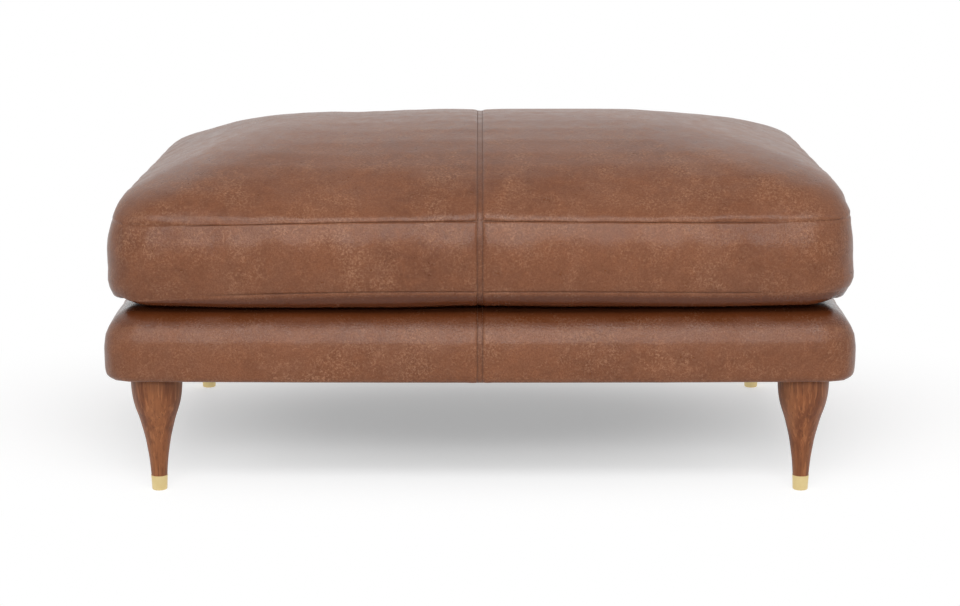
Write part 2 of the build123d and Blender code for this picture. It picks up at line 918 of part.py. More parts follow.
def slider():
    """The slider: a plate over the chain, flanges beside it, and two ears with a pin."""
    with BuildPart() as body:
        add(slab_box(
            (slider_x - slider_length / 2, plate_back, boxing_middle - slider_height / 2),
            (slider_x + slider_length / 2, plate_front, boxing_middle + slider_height / 2),
        ))
        fillet(body.edges().filter_by(Axis.Y), slider_length / 4)
        for side in (-1, 1):
            low, high = sorted((side * flange_outer, side * (flange_outer - slider_flange)))
            add(slab_box(
                (slider_x - slider_length / 3, chain_back + slider_play, boxing_middle + low),
                (slider_x + slider_length / 3, plate_back, boxing_middle + high),
            ))
            low, high = sorted((side * ear_low, side * (ear_low + slider_ear)))
            with BuildSketch(Plane.XY.offset(boxing_middle + low)):
                with Locations((slider_x, pin_y)):
                    Circle(pull_eye_radius)
                with Locations((slider_x, (pin_y + plate_front) / 2)):
                    Rectangle(2 * pull_eye_radius, pin_y - plate_front)
            extrude(amount=high - low)
        with BuildSketch(Plane.XY.offset(boxing_middle - ear_low)):
            with Locations((slider_x, pin_y)):
                Circle(pull_pin_radius)
        extrude(amount=2 * ear_low)
    return body.part


def pull():
    """The flat pull, with an eye round the slider's pin, lying back along the closed zip."""
    with BuildPart() as tab:
        with BuildSketch(Plane.XY.offset(boxing_middle - pull_eye_height / 2)):
            with Locations((slider_x, pin_y)):
                Circle(pull_eye_radius)
        extrude(amount=pull_eye_height)
        add(slab_box(
            (slider_x - pull_length, pin_y - pull_thickness / 2, boxing_middle - pull_eye_height / 2),
            (slider_x, pin_y + pull_thickness / 2, boxing_middle + pull_eye_height / 2),
        ))
        add(slab_box(
            (slider_x - pull_length, pin_y - pull_thickness / 2, boxing_middle - pull_width / 2),
            (slider_x - slider_length / 2, pin_y + pull_thickness / 2, boxing_middle + pull_width / 2),
        ))
        far_corners = tab.edges().filter_by(Axis.Y).group_by(Axis.X)[0]
        fillet(far_corners, pull_width / 3)
        with BuildSketch(Plane.XY.offset(boxing_middle - pull_eye_height)):
            with Locations((slider_x, pin_y)):
                Circle(pull_hole_radius)
        extrude(amount=2 * pull_eye_height, mode=Mode.SUBTRACT)
    return tab.part


save(slider(), "zip_slider")
save(pull(), "zip_pull")
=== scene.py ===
"""A leather ottoman: the looks of its cushion, base, legs and fittings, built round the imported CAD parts.

Everything is in metres and in the frame of the CAD model: +Z up, the front faces -Y.
"""

import bisect
import math

import bmesh
import bpy
from mathutils import Matrix, Vector, noise
from mathutils.bvhtree import BVHTree


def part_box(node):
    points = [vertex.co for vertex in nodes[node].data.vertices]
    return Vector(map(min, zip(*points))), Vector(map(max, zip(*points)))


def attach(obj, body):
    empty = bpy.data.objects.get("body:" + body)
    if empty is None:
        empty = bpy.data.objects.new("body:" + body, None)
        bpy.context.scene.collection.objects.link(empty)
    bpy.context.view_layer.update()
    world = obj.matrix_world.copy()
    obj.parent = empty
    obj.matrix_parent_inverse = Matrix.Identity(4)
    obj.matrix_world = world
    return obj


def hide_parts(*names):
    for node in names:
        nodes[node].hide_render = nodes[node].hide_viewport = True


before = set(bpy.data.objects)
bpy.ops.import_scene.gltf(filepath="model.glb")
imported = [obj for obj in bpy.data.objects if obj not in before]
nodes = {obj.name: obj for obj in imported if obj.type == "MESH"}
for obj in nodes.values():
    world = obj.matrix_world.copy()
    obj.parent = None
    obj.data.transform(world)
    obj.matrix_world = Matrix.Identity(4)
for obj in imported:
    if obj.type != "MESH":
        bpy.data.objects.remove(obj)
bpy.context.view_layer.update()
bpy.ops.object.select_all(action="DESELECT")


# Studio
# A white floor in white surroundings, lit by soft lamps overhead, in front, at both sides and behind, and
# glowing a little itself.
# The camera stands 3.1 m in front of the stool at 0.85 m and looks down at it by about 12 degrees.
CAMERA_PLACE = (0, -3.1265, 0.8486)
CAMERA_TILT = 78.1
FLOOR_SIZE = 40
LAMP_TARGET = (0, 0, 0.3)
NODE_SPACING = 180

bpy.ops.object.camera_add(location=CAMERA_PLACE, rotation=(math.radians(CAMERA_TILT), 0, 0))
camera = bpy.context.object
camera.name = "camera"
camera.data.lens = 85
camera.data.sensor_width = 36
bpy.context.scene.camera = camera
bpy.context.scene.view_settings.view_transform = "Standard"


def fill_tree(tree, wanted, links):
    """Fills a node tree with named nodes, each given as (type, settings, inputs), and joins their sockets,
    each joint given as (node, output, node, input)."""
    tree.nodes.clear()
    made = {}
    for place, (name, (kind, settings, inputs)) in enumerate(wanted.items()):
        item = tree.nodes.new(kind)
        item.name = name
        item.location = (place * NODE_SPACING, 0)
        for key, value in settings.items():
            setattr(item, key, value)
        for key, value in inputs.items():
            item.inputs[key].default_value = value
        made[name] = item
    for source, output, target, entry in links:
        tree.links.new(made[source].outputs[output], made[target].inputs[entry])


def new_material(name, wanted, links):
    """A material of the nodes wanted, with "place" for a point's own coordinates and "out" for the result."""
    material = bpy.data.materials.new(name)
    material.use_nodes = True
    fill_tree(material.node_tree, {
        "place": ("ShaderNodeTexCoord", {}, {}), **wanted, "out": ("ShaderNodeOutputMaterial", {}, {}),
    }, links)
    return material


def math_node(operation, inputs=None, clamp=False):
    return "ShaderNodeMath", {"operation": operation, "use_clamp": clamp}, inputs or {}


def ramp_node(low, high, out_low=0.0, out_high=1.0, interpolation="LINEAR"):
    """A node that turns one range of values into another."""
    ends = {"From Min": low, "From Max": high, "To Min": out_low, "To Max": out_high}
    return "ShaderNodeMapRange", {"interpolation_type": interpolation}, ends


# Camera, gloss and transmission rays see the white surroundings, and all others see what is really there
seen_nodes = {
    "rays": ("ShaderNodeLightPath", {}, {}),
    "camera_or_gloss": math_node("ADD", clamp=True),
    "seen": math_node("ADD", clamp=True),
}
seen_links = [
    ("rays", "Is Camera Ray", "camera_or_gloss", 0),
    ("rays", "Is Glossy Ray", "camera_or_gloss", 1),
    ("camera_or_gloss", "Value", "seen", 0),
    ("rays", "Is Transmission Ray", "seen", 1),
]
# Painted light on the floor: it glows a little, which paints its cast shadow paler, and it fades to glowing
# white away from a centre set behind the stool, so the shadow is painted away soonest in front
floor_material = new_material("studio_floor", {
    "shape": ("ShaderNodeMapping", {}, {"Location": (0, -0.12, 0), "Scale": (0.62, 1.15, 0)}),
    "reach": ("ShaderNodeVectorMath", {"operation": "LENGTH"}, {}),
    "fade": ramp_node(0.11, 0.68, interpolation="SMOOTHSTEP"),
    **seen_nodes,
    "paint": ("ShaderNodeBsdfDiffuse", {}, {"Color": (0.95, 0.95, 0.955, 1)}),
    "glow": ("ShaderNodeEmission", {}, {"Color": (0.31, 0.31, 0.31, 1), "Strength": 1}),
    "white": ("ShaderNodeEmission", {}, {"Color": (1, 1, 1, 1), "Strength": 1}),
    "lit": ("ShaderNodeAddShader", {}, {}),
    "far": ("ShaderNodeMixShader", {}, {}),
    "choice": ("ShaderNodeMixShader", {}, {}),
    "side": ("ShaderNodeNewGeometry", {}, {}),
    "clear": ("ShaderNodeBsdfTransparent", {}, {}),
    "one_sided": ("ShaderNodeMixShader", {}, {}),
}, [
    ("place", "Object", "shape", "Vector"),
    ("shape", "Vector", "reach", 0),
    ("reach", "Value", "fade", "Value"),
    *seen_links,
    ("paint", "BSDF", "lit", 0),
    ("glow", "Emission", "lit", 1),
    ("fade", "Result", "far", 0),
    ("lit", "Shader", "far", 1),
    ("white", "Emission", "far", 2),
    ("seen", "Value", "choice", 0),
    ("paint", "BSDF", "choice", 1),
    ("far", "Shader", "choice", 2),
    ("side", "Backfacing", "one_sided", 0),
    ("choice", "Shader", "one_sided", 1),
    ("clear", "BSDF", "one_sided", 2),
    ("one_sided", "Shader", "out", "Surface"),
])
bpy.ops.mesh.primitive_plane_add(size=FLOOR_SIZE, location=(0, 0, 0))
floor = bpy.context.object
floor.name = "studio_floor"
floor.data.materials.append(floor_material)

world = bpy.data.worlds.new("studio")
bpy.context.scene.world = world
world.use_nodes = True
fill_tree(world.node_tree, {
    **seen_nodes,
    "fill": ("ShaderNodeBackground", {}, {"Color": (1, 1, 1, 1), "Strength": 0.40}),
    "white": ("ShaderNodeBackground", {}, {"Color": (1, 1, 1, 1), "Strength": 1}),
    "choice": ("ShaderNodeMixShader", {}, {}),
    "out": ("ShaderNodeOutputWorld", {}, {}),
}, [
    *seen_links,
    ("seen", "Value", "choice", 0),
    ("fill", "Background", "choice", 1),
    ("white", "Background", "choice", 2),
    ("choice", "Shader", "out", "Surface"),
])

# Each lamp: its place, its width and height, and its power in watts
lamps = {
    "lamp_overhead": ((0, -1.90, 2.05), (2.6, 0.5), 24),
    "lamp_front": ((0, -3.3, 1.62), (2.8, 0.8), 34),
    "lamp_left": ((-2.5, -1.6, 1.5), (1.2, 1.2), 5),
    "lamp_right": ((2.5, -1.4, 1.6), (1.2, 1.2), 5),
    "lamp_rear": ((0, 3.2, 1.5), (2.4, 1.0), 8),
}
for name, (place, size, power) in lamps.items():
    aim = (Vector(LAMP_TARGET) - Vector(place)).to_track_quat("-Z", "Y").to_euler()
    bpy.ops.object.light_add(type="AREA", location=place, rotation=aim)
    lamp = bpy.context.object
    lamp.name = name
    lamp.visible_camera = False
    lamp.visible_glossy = name != "lamp_rear"
    lamp.data.shape = "RECTANGLE"
    lamp.data.size, lamp.data.size_y = size
    lamp.data.energy = power


# Cushion cover
# A loose seat cushion in pieced hide: two top panels and two underside panels sewn to a side band, with a
# flattened double-stitched seam down the middle. The cover is drawn over a fibre-wrapped foam core, so it
# swells between its seams and is pulled in along them, with small puckers where the hide is gathered.
MM = 0.001
TOUCH = 1e-5
OUTSIDE = 0.5
SEAM_CLEARANCE = 5.8 * MM
HEM_WIDTH = 12 * MM


def even_cuts(low, high, spacing):
    """Evenly spaced cuts strictly between two ends."""
    count = max(1, round((high - low) / spacing))
    return [low + (high - low) * k / count for k in range(1, count)]


def slice_across(shape, axis, cut):
    """Cuts a shape's faces along a plane across one axis."""
    point, normal = [0, 0, 0], [0, 0, 0]
    point[axis], normal[axis] = cut, 1
    bmesh.ops.bisect_plane(
        shape, geom=shape.verts[:] + shape.edges[:] + shape.faces[:], plane_co=point, plane_no=normal,
    )


def panelled_block(name, cuts, low, high):
    """A cube sliced along three sets of planes, the flat pattern that a sewn cover is shaped from."""
    middle = [(low[axis] + high[axis]) / 2 for axis in range(3)]
    bpy.ops.mesh.primitive_cube_add(size=2, location=middle)
    block = bpy.context.object
    block.name = name
    block.data.name = name
    block.scale = [(high[axis] - low[axis]) / 2 for axis in range(3)]
    bpy.ops.object.transform_apply(location=True, rotation=False, scale=True)
    shape = bmesh.new()
    shape.from_mesh(block.data)
    for axis in range(3):
        for cut in cuts[axis]:
            slice_across(shape, axis, cut)
    shape.to_mesh(block.data)
    shape.free()
    return block


def surface_of(*pieces):
    """A tree of the faces of some pieces, for finding places on them."""
    points = []
    faces = []
    for piece in pieces:
        mesh = piece.data
        start = len(points)
        points.extend(v.co.copy() for v in mesh.vertices)
        faces.extend([start + i for i in p.vertices] for p in mesh.polygons)
    return BVHTree.FromPolygons(points, faces)


class CoverShape:
    """Where each point of a sliced block lies on a padded cover."""

    def __init__(self, tree, half_x, half_y, low, high, sides, level, slot=None, flat_floor=None):
        self.tree = tree
        self.half_x = half_x
        self.half_y = half_y
        self.low = low
        self.high = high
        self.core_x = half_x - sides
        self.core_y = half_y - sides
        self.level = level
        self.slot = slot
        self.flat_floor = flat_floor
        self.rims = {}

    def on_side(self, x, y):
        """Whether a point of the block lies on one of its four sides."""
        return abs(abs(x) - self.half_x) < TOUCH or abs(abs(y) - self.half_y) < TOUCH

    def clear_of_seam(self, x):
        """The nearest place beside the sunk middle seam of the CAD part."""
        return math.copysign(max(abs(x), SEAM_CLEARANCE), x if x else 1)

    def rim(self, x, y, z):
        """A point on the side of the cover, found by looking inwards from outside."""
        key = (round(x, 6), round(y, 6), round(z, 6))
        if key not in self.rims:
            height = self.level(x, y, z)
            seen = height
            if self.slot and y > 0 and abs(x) < self.slot[0] and abs(height - self.slot[1]) < self.slot[2]:
                seen = self.slot[1] + math.copysign(self.slot[2], height - self.slot[1])
            core = Vector((
                max(-self.core_x, min(self.core_x, x)),
                max(-self.core_y, min(self.core_y, y)),
                seen,
            ))
            away = Vector((x - core.x, y - core.y, 0)).normalized()
            shift = self.clear_of_seam(core.x) - core.x
            core.x += shift
            start = core + away * OUTSIDE
            hit = self.tree.ray_cast(start, -away)[0]
            if hit is None:  # The look ran exactly between two faces
                hit = self.tree.ray_cast(start + Vector((0, 0, 0.3 * MM)), -away)[0]
            self.rims[key] = Vector((hit.x - shift, hit.y, height))
        return self.rims[key]

    def spread(self, x, y, z):
        """The plan place of a point inside the top or the underside, drawn evenly from the four edges."""
        u = (x + self.half_x) / (2 * self.half_x)
        v = (y + self.half_y) / (2 * self.half_y)
        front = self.rim(x, -self.half_y, z)
        rear = self.rim(x, self.half_y, z)
        left = self.rim(-self.half_x, y, z)
        right = self.rim(self.half_x, y, z)
        corners = [
            (self.rim(-self.half_x, -self.half_y, z), (1 - u) * (1 - v)),
            (self.rim(self.half_x, -self.half_y, z), u * (1 - v)),
            (self.rim(-self.half_x, self.half_y, z), (1 - u) * v),
            (self.rim(self.half_x, self.half_y, z), u * v),
        ]
        point = front * (1 - v) + rear * v + left * (1 - u) + right * u
        for corner, weight in corners:
            point -= corner * weight
        return point

    def place(self, point):
        """The shaped place of one point of the block."""
        x, y, z = point
        if self.on_side(x, y):
            return self.rim(x, y, z).copy()
        spread = self.spread(x, y, z)
        from_above = z > (self.low + self.high) / 2
        if not from_above and self.flat_floor is not None:
            edge = min(self.half_x - abs(x), self.half_y - abs(y))
            if edge > HEM_WIDTH:
                return Vector((spread.x, spread.y, self.flat_floor))
        start = Vector((self.clear_of_seam(spread.x), spread.y, 2 * OUTSIDE if from_above else -OUTSIDE))
        look = Vector((0, 0, -1 if from_above else 1))
        hit = self.tree.ray_cast(start, look)[0]
        height = hit.z if hit else spread.z
        return Vector((spread.x, spread.y, height))


CLOTH_FRAMES = 20
SMOOTHING_PASSES = 3


def swell_cover(coarse, pinned, pressure, most):
    """Lets the cover swell over its filling as cloth, and returns how far each point moved."""
    points = [v.co.copy() for v in coarse.data.vertices]
    group = coarse.vertex_groups.new(name="sewn")
    for index, weight in enumerate(pinned):
        if weight > 0:
            group.add([index], weight, "REPLACE")
    cloth = coarse.modifiers.new("swell", "CLOTH")
    settings = cloth.settings
    settings.quality = 6
    settings.mass = 0.6
    settings.tension_stiffness = 18
    settings.compression_stiffness = 18
    settings.shear_stiffness = 8
    settings.bending_stiffness = 1.2
    settings.use_pressure = True
    settings.uniform_pressure_force = pressure
    settings.shrink_min = -0.012
    settings.vertex_group_mass = "sewn"
    settings.pin_stiffness = 1
    settings.effector_weights.gravity = 0
    cloth.collision_settings.use_collision = False
    cloth.point_cache.frame_start = 1
    cloth.point_cache.frame_end = CLOTH_FRAMES
    for number in range(1, CLOTH_FRAMES + 1):
        bpy.context.scene.frame_set(number)
    bpy.context.view_layer.objects.active = coarse
    bpy.ops.object.modifier_apply(modifier="swell")
    bpy.context.scene.frame_set(1)
    moves = []
    for vertex, start in zip(coarse.data.vertices, points):
        move = vertex.co - start
        if move.length > most:
            move *= most / move.length
        moves.append(move)
    near = [[] for _ in moves]
    for edge in coarse.data.edges:
        start, end = edge.vertices
        near[start].append(end)
        near[end].append(start)
    for _ in range(SMOOTHING_PASSES):
        around = [sum((moves[k] for k in others), Vector()) / len(others) for others in near]
        moves = [
            move.lerp(mean, 0.5) if weight < 1 else move
            for move, mean, weight in zip(moves, around, pinned)
        ]
    return moves


class MovesOnBlock:
    """Moves known at the crossings of a coarse block's cuts, read anywhere on the block."""

    def __init__(self, block_points, moves, cuts):
        self.cuts = cuts
        self.known = {}
        for point, move in zip(block_points, moves):
            self.known[tuple(self.nearest(axis, point[axis]) for axis in range(3))] = move

    def nearest(self, axis, value):
        cuts = self.cuts[axis]
        place = bisect.bisect_left(cuts, value)
        choices = [k for k in (place - 1, place) if 0 <= k < len(cuts)]
        return min(choices, key=lambda k: abs(cuts[k] - value))

    def ends(self, axis, value):
        """The cuts on both sides of a value, with the share of each."""
        cuts = self.cuts[axis]
        upper = min(max(bisect.bisect_left(cuts, value), 1), len(cuts) - 1)
        share = (value - cuts[upper - 1]) / (cuts[upper] - cuts[upper - 1])
        share = max(0, min(1, share))
        return [(k, w) for k, w in ((upper - 1, 1 - share), (upper, share)) if w > TOUCH]

    def at(self, point):
        """The move at any point of the block, between those of the crossings round it."""
        total = Vector((0, 0, 0))
        for i, wx in self.ends(0, point[0]):
            for j, wy in self.ends(1, point[1]):
                for k, wz in self.ends(2, point[2]):
                    move = self.known.get((i, j, k))
                    if move:
                        total += move * (wx * wy * wz)
        return total


def soft_step(value):
    """A smooth rise from 0 to 1."""
    value = max(0, min(1, value))
    return value * value * (3 - 2 * value)


CUSHION_HALF_X = 0.4825
CUSHION_HALF_Y = 0.3275
UPPER_SEAM = 0.3637
LOWER_SEAM = 0.2719
LEFT_DROOP = 9.3 * MM
RIGHT_DROOP = 2.7 * MM
ZIP_HALF = 0.310
ZIP_HEIGHT = 0.3103
ZIP_CALM = 0.036
DECK_HEIGHT = 0.2484


def cushion_level(x, y, z):
    """The height of a row of the side band: its seams sink towards the corners, more so at the left end."""
    corner = (soft_step(abs(x) / CUSHION_HALF_X) * soft_step(abs(y) / CUSHION_HALF_Y)) ** 1.5
    end = soft_step((x / CUSHION_HALF_X + 1) / 2)
    droop = LEFT_DROOP + (RIGHT_DROOP - LEFT_DROOP) * end
    from_zip = min(1, abs(z - ZIP_HEIGHT) / ZIP_CALM)
    return z - droop * corner * from_zip ** 2


def bell(value, width):
    """A smooth hump that is 1 in its middle."""
    return math.exp(-(value / width) ** 2)


cushion_panels = [
    "cushion_top_left", "cushion_top_right", "cushion_boxing_left", "cushion_boxing_right",
    "cushion_bottom_left", "cushion_bottom_right", "zip_strip_upper", "zip_strip_lower",
]
cushion_shape = CoverShape(
    surface_of(*[nodes[name] for name in cushion_panels]), CUSHION_HALF_X, CUSHION_HALF_Y,
    LOWER_SEAM, UPPER_SEAM, sides=0.11, level=cushion_level,
    slot=(ZIP_HALF + 0.6 * MM, ZIP_HEIGHT, 4.8 * MM),
)


def mirrored_cuts(half, near_edge, near_middle, spacing):
    """Cuts across a block, closer together along its edges and along its middle, with both ends."""
    inner = [m * MM for m in near_middle]
    edge = [half - e * MM for e in near_edge]
    between = even_cuts(inner[-1], edge[-1], spacing)
    side = inner[1:] + between + edge[::-1] + [half]
    return [-c for c in side[::-1]] + [0.0] + side


def side_cuts(low, high, near_edge, extra, spacing):
    """Cuts between two seams, closer together along both and round any extra places, with both ends."""
    lower = [low] + [low + e * MM for e in near_edge]
    upper = [high - e * MM for e in near_edge[::-1]] + [high]
    cuts = lower + extra + upper
    cuts.sort()
    filled = [cuts[0]]
    for cut in cuts[1:]:
        filled += even_cuts(filled[-1], cut, spacing)
        filled.append(cut)
    return filled


coarse_cuts = [
    mirrored_cuts(CUSHION_HALF_X, [2.5, 8], [0, 9], 10 * MM),
    mirrored_cuts(CUSHION_HALF_Y, [2.5, 8], [0, 9], 10 * MM),
    side_cuts(LOWER_SEAM, UPPER_SEAM, [6], [ZIP_HEIGHT], 9 * MM),
]
seam_cuts = [0, 1.1, 2.1, 3.1, 4.1, 5.1, 6.6, 9, 12.5]
fine_cuts = [
    mirrored_cuts(CUSHION_HALF_X, [0.5, 1.2, 2.2, 3.8, 6.5], seam_cuts, 6 * MM),
    mirrored_cuts(CUSHION_HALF_Y, [0.5, 1.2, 2.2, 3.8, 6.5], [0, 6], 6 * MM),
    side_cuts(
        LOWER_SEAM, UPPER_SEAM, [0.7, 1.5, 2.6, 4.4],
        [ZIP_HEIGHT + z * MM for z in (-9, -7, -5.4, -4.6, -4, -3.4, 0, 3.4, 4, 4.6, 5.4, 7, 9)], 6.5 * MM,
    ),
]


def block_for(name, shape, cuts):
    """The block for a cover, sliced along its cuts but for the outermost, which are its sides."""
    low, high = (-shape.half_x, -shape.half_y, shape.low), (shape.half_x, shape.half_y, shape.high)
    return panelled_block(name, [axis_cuts[1:-1] for axis_cuts in cuts], low, high)


def shape_cover(block, shape):
    """Moves every point of a sliced block to its place on the cover, and returns its places on the block."""
    flat = [v.co.copy() for v in block.data.vertices]
    for vertex, point in zip(block.data.vertices, flat):
        vertex.co = shape.place(point)
    block.data.update()
    return flat


def settled_cover(name, shape, cuts, pins, pressure, most):
    """The coarse cover after swelling: its moves, readable anywhere on the block."""
    coarse = block_for(name, shape, cuts)
    flat = shape_cover(coarse, shape)
    pinned = [pins(point, vertex.co) for point, vertex in zip(flat, coarse.data.vertices)]
    moves = swell_cover(coarse, pinned, pressure, most)
    bpy.data.objects.remove(coarse, do_unlink=True)
    return MovesOnBlock(flat, moves, cuts)


def cushion_pins(flat, place):
    """Sewn lines and the part that lies on the deck stay where they are."""
    on_band = cushion_shape.on_side(flat.x, flat.y)
    on_deck = not on_band and flat.z < ZIP_HEIGHT
    on_edge = on_band and min(abs(flat.z - UPPER_SEAM), abs(flat.z - LOWER_SEAM)) < TOUCH
    on_middle = abs(flat.x) < TOUCH
    by_zip = flat.y > CUSHION_HALF_Y - TOUCH and abs(flat.x) < 0.33 and abs(flat.z - ZIP_HEIGHT) < 20 * MM
    if on_deck or on_edge or by_zip or (on_middle and on_band and flat.y < 0):
        return 1
    return 0.6 if on_middle and not on_band else 0


cushion_moves = settled_cover(
    "cushion_block", cushion_shape, coarse_cuts, cushion_pins, pressure=4, most=4.0 * MM,
)
cushion_cover = block_for("cushion_cover", cushion_shape, fine_cuts)
cushion_flat = shape_cover(cushion_cover, cushion_shape)


def seam_reach(shape, flat, place, seam):
    """How far a point of the cover lies from one of the two sewn edges."""
    x, y, z = flat
    feet = []
    if shape.on_side(x, y):
        feet.append(shape.rim(x, y, seam))
    else:
        feet.append(shape.rim(math.copysign(shape.half_x, x), y, seam))
        feet.append(shape.rim(x, math.copysign(shape.half_y, y), seam))
    return min((place - foot).length for foot in feet)


def gather(x, y, seed):
    """Uneven gathering along a seam, from 0 to 1."""
    long_waves = noise.noise(Vector((x * 9, y * 9, seed)))
    short_waves = noise.noise(Vector((x * 38, y * 38, seed + 7)))
    return max(0, min(1, 0.5 + 0.55 * long_waves + 0.5 * short_waves))


MIDDLE_SEAM_REACH = 30 * MM
FAR_FROM_SEAM = 60
END_OF_FRONT = 0.43


def middle_seam(x):
    """The relief of the flattened middle seam at some distance from its line, in millimetres."""
    across = abs(x) / MM
    sunk = 0.45 * (1 - soft_step((across - 3.9) / 1.7))
    stitched = 0.75 * bell(across - 3.1, 0.75)
    butted = 0.15 * bell(across, 0.8)
    lip = 0.45 * bell(across - 9.5, 5.5)
    return lip - sunk - stitched - butted


def channel_grime(x):
    """Dirt and old polish in the middle seam, thickest at its two rows of stitches."""
    across = abs(x) / MM
    return max(0.6 * bell(across - 3.1, 1.2), 0.22 * (1 - soft_step((across - 3) / 1.5)))


def carve_cushion(flat, place):
    """The move of one point along its normal, its grime, and how much painted shade darkens it.

    Distances from a seam are in millimetres, and so is the move until it is returned."""
    x, y, z = flat
    on_band = cushion_shape.on_side(x, y)
    above = not on_band and z > ZIP_HEIGHT
    move = 0
    grime_and_shade = 0
    upper = seam_reach(cushion_shape, flat, place, UPPER_SEAM) / MM if on_band or above else FAR_FROM_SEAM
    lower = seam_reach(cushion_shape, flat, place, LOWER_SEAM) / MM if on_band or not above else FAR_FROM_SEAM
    beside = soft_step((abs(place.x) / MM - 3.6) / 2) if y < 0 else 1
    corner = soft_step((abs(x) - 0.405) / 0.035) * soft_step((abs(y) - 0.26) / 0.04)
    beside *= 1 - 0.65 * corner
    end = soft_step((abs(place.x) - END_OF_FRONT) / 0.03)
    folds = gather(place.x, place.y, 3)
    if upper < FAR_FROM_SEAM:
        move -= 1.2 * bell(upper, 0.95) * beside
        round_off = 3.0 * (1 - 0.7 * end)
        if above:
            lip = (0.9 + 0.8 * folds) * (1 - 0.7 * end)
            move += lip * bell(upper - 6.0, 4.0) * beside
            move -= round_off * bell(upper, 8)
        else:
            move += (0.2 + 0.4 * folds) * bell(upper - 5.0, 3.6) * beside
            move -= round_off * bell(upper, 19)
        crease = noise.noise(Vector((place.x * 55, place.y * 55, 11)))
        strength = soft_step((folds - 0.45) / 0.4)
        if above:
            move += 0.6 * crease * strength * bell(upper - 6, 11)
        else:
            move += 0.4 * crease * strength * bell(upper - 5, 9)
        grime_and_shade = max(grime_and_shade, 0.75 * bell(upper, 1.0) * beside * (1 - 0.9 * corner))
    if lower < FAR_FROM_SEAM:
        move -= 1.0 * bell(lower, 1.1) * beside
        move += 0.45 * bell(lower - 4.2, 3.0) * beside
        grime_and_shade = max(grime_and_shade, 0.55 * bell(lower, 1.0) * beside)
    on_front = abs(y + CUSHION_HALF_Y) < TOUCH
    on_rear = abs(y - CUSHION_HALF_Y) < TOUCH
    if (on_front or not on_band) and abs(place.x) < MIDDLE_SEAM_REACH:
        move += middle_seam(place.x)
        grime_and_shade = max(grime_and_shade, channel_grime(place.x))
    if on_rear:
        from_end = abs(abs(place.x) - ZIP_HALF) / MM
        move -= 1.0 * bell(from_end, 1.6)
        grime_and_shade = max(grime_and_shade, 0.7 * bell(from_end, 1.6))
        if abs(place.x) < ZIP_HALF + 0.5 * MM:
            from_slot = abs(place.z - ZIP_HEIGHT) / MM
            move -= 2.9 * (1 - soft_step((from_slot - 3.5) / 1.0))
            move -= 0.35 * bell(from_slot - 7, 0.8)
            grime_and_shade = max(grime_and_shade, 0.4 * bell(from_slot - 7, 0.9))
    # Painted shade: the underside, away from its lower seam, is marked to be painted darker and warmer
    painted_shade = 0 if on_band or above else soft_step((lower - 0.5) / 9)
    return move * MM, grime_and_shade, painted_shade


# Sag of the lower edge and unevenness of the crown along the cushion: (place in metres, millimetres)
LIP_SAGS = [
    (-0.49, 4.0), (-0.42, 8.5), (-0.30, 9.5), (-0.12, 8.0), (0, 5.0),
    (0.12, 6.5), (0.30, 8.0), (0.42, 7.5), (0.49, 4.0),
]
CROWN_HEIGHTS = [
    (-0.49, 0), (-0.45, -2.5), (-0.43, -4.2), (-0.41, -5.6), (-0.39, -6.3), (-0.35, -4.5), (-0.30, -3.4),
    (-0.26, -4.2), (-0.22, -5.5), (-0.18, -6.5), (-0.14, -5.2), (-0.10, -3.4), (-0.05, -2.0), (0.15, -1.8),
    (0.20, -2.0), (0.24, -2.0), (0.28, -1.0), (0.33, 0.5), (0.37, 3.0), (0.41, 4.0), (0.45, 4.0), (0.49, 4.0),
]
# Fuller and slimmer places of the left and the right end: (millimetres, height in metres, reach)
LEFT_SWELLS = [(-7.0, 0.268, 17), (2.5, 0.362, 15), (-2.5, 0.388, 13)]
RIGHT_SWELLS = [(6.0, 0.277, 18), (16.5, 0.397, 26)]
CROWN_FOOT = 0.366
START_OF_ENDS = 0.32
LIP_HALF_X = 0.475
LIP_HALF_Y = 0.320
LIP_HEIGHT = 0.2705


def along_profile(profile, value):
    """The height of a smooth profile given as (place, height) pairs, in millimetres."""
    for (start, low), (end, high) in zip(profile, profile[1:]):
        if value <= end:
            return low + (high - low) * soft_step((value - start) / (end - start))
    return profile[-1][1]


def settled_with_use(place):
    """Small unevenness of a used cushion: the right end is filled fuller, and the left end has settled."""
    rise = soft_step((place.z - CROWN_FOOT) / 0.050)
    raised = along_profile(CROWN_HEIGHTS, place.x) * rise
    swells = LEFT_SWELLS if place.x < 0 else RIGHT_SWELLS
    wide = sum(amount * bell((place.z - height) / MM, reach) for amount, height, reach in swells)
    wide *= soft_step((abs(place.x) - START_OF_ENDS) / 0.12)
    inset = min(LIP_HALF_X - abs(place.x), LIP_HALF_Y - abs(place.y)) / MM
    under = soft_step((LIP_HEIGHT - place.z) / 0.012)
    raised -= along_profile(LIP_SAGS, place.x) * bell(inset - 11, 14) * under
    return Vector((wide * MM, 0, raised * MM))


def finish_cover(cover, flat, moves, carve, lowest, adjust=None):
    """Swells, adjusts and carves a finely sliced cover, and notes its grime and painted contact shadow, and
    where it is painted in shade.
    """
    mesh = cover.data
    for vertex, point in zip(mesh.vertices, flat):
        vertex.co += moves.at(point)
        if adjust:
            vertex.co += adjust(vertex.co)
    mesh.update()
    normals = [v.normal.copy() for v in mesh.vertices]
    places = [v.co.copy() for v in mesh.vertices]
    grime_and_shade = mesh.attributes.new("grime_and_shade", "FLOAT", "POINT")
    painted_shade = mesh.attributes.new("painted_shade", "FLOAT", "POINT")
    for index, (point, place, normal) in enumerate(zip(flat, places, normals)):
        move, dirt_and_shade, painted_shading = carve(point, place)
        new_place = place + normal * move
        if new_place.z < lowest:
            new_place.z = lowest
        mesh.vertices[index].co = new_place
        grime_and_shade.data[index].value = dirt_and_shade
        painted_shade.data[index].value = painted_shading
    mesh.update()
    mesh.shade_smooth()


